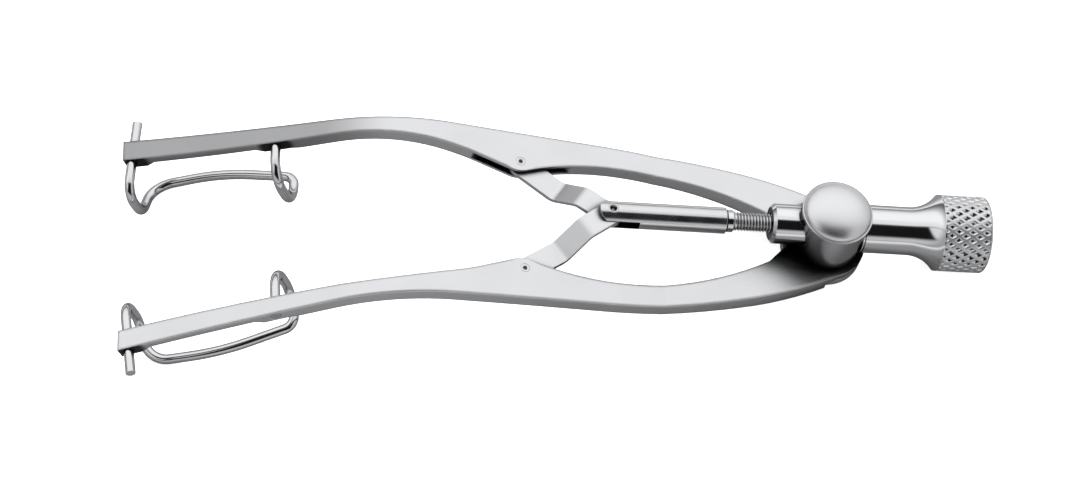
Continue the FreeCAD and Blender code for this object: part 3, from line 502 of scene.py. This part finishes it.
def thread(x, r, angle):
    if r < THREAD_R - 1e-6:
        return 0.0, 0.0
    valley = groove(x / THREAD_PITCH - angle / (2 * math.pi))
    valley = min(1.0, max(0.0, (valley - THREAD_CREST) / THREAD_FLANK))
    runout = min(x - RING_END, LEAD_END - x) / THREAD_RUNOUT
    valley *= min(1.0, max(0.0, runout))
    return -THREAD_DEPTH * valley, valley


rows = int((LEAD_END - RING_END) / THREAD_PITCH * THREAD_ROWS)
screw_points = [(SPIGOT_START, 0.0), (SPIGOT_START, SPIGOT_R), (RING_END, SPIGOT_R)]
screw_points += [(x, THREAD_R) for x in steps_between(RING_END, LEAD_END - LEAD_CHAMFER, rows)]
screw_points += [(LEAD_END, THREAD_R - 0.22), (LEAD_END, 0.0)]
screw_mesh = turned_mesh("lead_screw_thread", screw_points, THREAD_STEPS, lift=thread, sharp=50.0)
add_piece("lead_screw_thread", screw_mesh, "draw_rod", thread_steel, "lead_screw")

# Link rivets: upright, with ends flush with the arms' rising bars and a punched dimple in each
RIVET_TOP, RIVET_LENGTH, ARM_RISE = -0.8248, 1.5113, math.radians(7.012)
RIVET_DIMPLE, RIVET_DEEP = 0.2, 0.2


def dimpled_profile(half, radius, dimple, deep):
    """A pin with a punched dimple in each end."""
    top = [
        (half - deep, 0.0), (half - 0.93 * deep, 0.5 * dimple), (half - 0.2 * deep, 0.92 * dimple),
        (half, dimple + 0.03), (half + 0.008, radius - 0.06), (half - 0.012, radius),
    ]
    return top + [(-z, r) for z, r in reversed(top)]


rivet_profile = dimpled_profile(RIVET_LENGTH / 2, RIVET_R, RIVET_DIMPLE, RIVET_DEEP)
flush_ends = Matrix.Identity(4)
flush_ends[2][0] = -math.tan(ARM_RISE)
for side_name, sign in (("left", 1), ("right", -1)):
    head = Matrix.Translation((-RIVET_REACH, sign * RIVET_SPREAD, RIVET_TOP))
    seat = head @ flush_ends @ Matrix.Translation((0, 0, -RIVET_LENGTH / 2))
    name = "rivet_dimpled_" + side_name
    rivet_mesh = turned_mesh(name, rivet_profile, 32, axis="Z", seat=seat)
    arm, plain = "arm_" + side_name, "link_rivet_" + side_name
    add_piece(name, rivet_mesh, arm, satin_links, plain)

# Fork pin: just short of the shank's width, with a wide dimple in each end
PIN_REACH, PIN_R, PIN_HALF = 21.25, 0.45, 1.21
PIN_DIMPLE, PIN_DEEP = 0.33, 0.4
pin_profile = dimpled_profile(PIN_HALF, PIN_R, PIN_DIMPLE, PIN_DEEP)
pin_seat = Matrix.Translation((-PIN_REACH, 0.0, 0.0))
pin_mesh = turned_mesh("fork_pin_punched", pin_profile, 32, axis="Z", seat=pin_seat)
add_piece("fork_pin_punched", pin_mesh, "draw_rod", polish, "fork_pin")

# Cap: a low dome inside a narrow bright ledge
CAP_LOW, CAP_R, CAP_RIM, CAP_EDGE = 2.45, 3.4, 0.25, 0.04
CAP_DOME, CAP_LEDGE, CAP_DOME_STEPS = 1.3, 0.13, 30
CAP_STEM_R, CAP_STEM = 1.2, 0.75


def cap_profile():
    rim = CAP_LOW + CAP_RIM
    foot = CAP_LOW - CAP_STEM
    points = [(foot, 0.0), (foot, CAP_STEM_R), (CAP_LOW, CAP_STEM_R), (CAP_LOW, CAP_R)]
    points += [(rim - CAP_EDGE, CAP_R), (rim, CAP_R - CAP_EDGE)]
    for i in range(CAP_DOME_STEPS):
        turn = math.pi / 2 * i / CAP_DOME_STEPS
        points.append((rim + CAP_DOME * math.sin(turn), (CAP_R - CAP_LEDGE) * math.cos(turn)))
    return points + [(rim + CAP_DOME, 0.0)]


cap_mesh = turned_mesh("cap_crowned", cap_profile(), 96, axis="Z")
add_piece("cap_crowned", cap_mesh, "post", satin_cap, "cap")

# Floor
floor_mesh = bpy.data.meshes.new("floor")
build = bmesh.new()
bmesh.ops.create_grid(build, x_segments=1, y_segments=1, size=3.0)
build.to_mesh(floor_mesh)
build.free()
floor = bpy.data.objects.new("floor", floor_mesh)
bpy.context.scene.collection.objects.link(floor)
# The steel mirrors a grey floor, with painted shade on it: dark close under the instrument, light further
# off, and darker still by way of another piece of steel. To the camera it glows a little, so it is nearly
# white.
FLOOR_NEAR, FLOOR_FAR = 0.26, 0.72
FLOOR_FROM, FLOOR_TO = 0.016, 0.05
FLOOR_AGAIN, FLOOR_GLOW = 0.2, 0.8
floor_paint, net = new_material("floor_paint")
path = net.add("ShaderNodeLightPath").outputs
ground = net.add("ShaderNodeTexCoord").outputs["Object"]
pale = net.remap(net.noise(ground, 40.0, 2.0, 0.5), 0.3, 0.7, 0.795, 0.805)
away = net.vector("LENGTH", net.vector("MULTIPLY", ground, (0.3, 1.0, 0.0)))
# Painted shade, seen only in the steel: darker close under the instrument and after another bounce
floor_shade_in_steel = net.times(
    net.remap(away, FLOOR_FROM, FLOOR_TO, FLOOR_NEAR, FLOOR_FAR, smooth=True),
    net.remap(path["Ray Depth"], 1.0, 3.0, 1.0, FLOOR_AGAIN),
)
mirrored = net.blend(path["Is Glossy Ray"], pale, floor_shade_in_steel, kind="FLOAT")
paint = net.add("ShaderNodeBsdfDiffuse", {"Color": mirrored})
glow_inputs = {"Color": grey(1.0), "Strength": net.times(path["Is Camera Ray"], FLOOR_GLOW)}
glow = net.add("ShaderNodeEmission", glow_inputs)
finish_material(net, net.add("ShaderNodeAddShader", {0: paint.outputs[0], 1: glow.outputs[0]}))
floor_mesh.materials.append(floor_paint)
floor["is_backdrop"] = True

# World: white to the camera, and a tent for the steel to mirror. Its bright side is overhead
# and behind the instrument, and the side round the camera is dark. Each stop is an angle round
# the instrument's axis, in degrees from straight up towards its right, and a level.
TENT_STOPS = [
    (-180, 0.2), (-110, 0.2), (-86, 0.36), (-75, 0.66), (-62, 0.88), (-50, 0.98), (-40, 1.0),
    (-20, 1.0), (-12, 0.88), (3, 0.82), (9, 0.08), (14, 0.008), (60, 0.008), (66, 0.25),
    (72, 0.62), (80, 0.85), (100, 0.9), (180, 0.3),
]
TENT_PEAK, BESIDE_LEVEL = 1.08, 0.8
# Where the dark card's two ends fade, along the instrument, and how much the front one leans
CARD_FRONT, CARD_REAR, CARD_LEAN = (-0.55, -0.36), (0.6, 0.4), 0.0055
LOW_SHARE, KNOB_END_SHARE, AGAIN_SHARE = 0.4, 0.72, 0.15
world = bpy.data.worlds.new("studio")
bpy.context.scene.world = world
world.use_nodes = True
world.node_tree.nodes.clear()
net = Net(world.node_tree)
path = net.add("ShaderNodeLightPath").outputs
look = net.add("ShaderNodeTexCoord").outputs["Generated"]
ahead = net.vector("DOT_PRODUCT", look, tuple(heading(1, 0, 0)))
across = net.vector("DOT_PRODUCT", look, tuple(heading(0, -1, 0)))
height = net.vector("DOT_PRODUCT", look, tuple(heading(0, 0, 1)))
roll = net.times(net.math("ARCTAN2", across, height), 180 / math.pi)
ramp = net.add("ShaderNodeValToRGB", {"Fac": net.remap(roll, -180, 180)})
ramp.color_ramp.interpolation = "EASE"
while len(ramp.color_ramp.elements) > 1:
    ramp.color_ramp.elements.remove(ramp.color_ramp.elements[-1])
for index, (degrees, level) in enumerate(TENT_STOPS):
    at = (degrees + 180) / 360
    element = ramp.color_ramp.elements[0] if index == 0 else ramp.color_ramp.elements.new(at)
    element.position = at
    element.color = grey(level)
bright = net.vector("MULTIPLY", ramp.outputs[0], (TENT_PEAK, TENT_PEAK, TENT_PEAK))
# The dark side is only as wide as the camera's own side of the room, and grey beyond
leaning = net.math("ADD", ahead, net.times(roll, CARD_LEAN))
card = net.times(net.remap(leaning, *CARD_FRONT, smooth=True), net.remap(ahead, *CARD_REAR, smooth=True))
beside = net.times(net.remap(roll, 2.0, 14.0, smooth=True), net.remap(roll, 110.0, 60.0, smooth=True))
tent = net.blend(net.less(beside, card), bright, grey(BESIDE_LEVEL))
# It falls off towards the floor and past the knob's end, and by way of another piece of steel
fade = net.times(
    net.remap(height, 0.0, 0.4, LOW_SHARE, 1.0),
    net.remap(ahead, 0.45, 0.85, 1.0, KNOB_END_SHARE, smooth=True),
    net.remap(path["Ray Depth"], 2.0, 4.0, 1.0, AGAIN_SHARE),
)
level = net.blend(path["Is Camera Ray"], net.scaled(tent, fade), grey(1.0))
background = net.add("ShaderNodeBackground", {"Color": level, "Strength": 1.0})
out = net.add("ShaderNodeOutputWorld")
net.tree.links.new(background.outputs[0], out.inputs["Surface"])


# Lamps
def add_lamp(name, spot, aim, size, power):
    data = bpy.data.lights.new(name, "AREA")
    data.shape = "DISK"
    data.size = size
    data.energy = power
    lamp = bpy.data.objects.new(name, data)
    bpy.context.scene.collection.objects.link(lamp)
    lamp.location = spot
    lamp.rotation_mode = "QUATERNION"
    lamp.rotation_quaternion = (Vector(spot) - Vector(aim)).to_track_quat("Z", "Y")
    lamp.visible_glossy = False


add_lamp("key_lamp", (-0.25, 0.45, 0.75), (0, 0, 0), 0.45, 6.0)
add_lamp("fill_lamp", (0.45, -0.35, 0.65), (0, 0, 0), 0.6, 3.0)

# Camera
CAMERA_MM = (-79.4855, -156.9785, 259.4708)
ELEVATION, AZIMUTH, ROLL = (math.radians(v) for v in (58.0876, 18.2654, 18.7957))
FOCAL_PX, FRAME_PX, SENSOR = 3290.58, 1066.0, 36.0
back = Vector((
    -math.sin(AZIMUTH) * math.cos(ELEVATION),
    -math.cos(AZIMUTH) * math.cos(ELEVATION),
    math.sin(ELEVATION),
))
level_right = Vector((0, 0, 1)).cross(back).normalized()
level_up = back.cross(level_right)
right = math.cos(ROLL) * level_right + math.sin(ROLL) * level_up
up = -math.sin(ROLL) * level_right + math.cos(ROLL) * level_up
camera_data = bpy.data.cameras.new("camera")
camera_data.sensor_width = SENSOR
camera_data.lens = FOCAL_PX / FRAME_PX * SENSOR
camera_data.clip_start, camera_data.clip_end = 0.01, 10.0
camera = bpy.data.objects.new("camera", camera_data)
bpy.context.scene.collection.objects.link(camera)
columns = [TURN @ v for v in (right, up, back)]
camera.rotation_mode = "QUATERNION"
camera.rotation_quaternion = Matrix(columns).transposed().to_quaternion()
camera.location = place(*CAMERA_MM)
bpy.context.scene.camera = camera

bpy.context.scene.view_settings.view_transform = "Standard"

save_bounds(sizes, "visual")
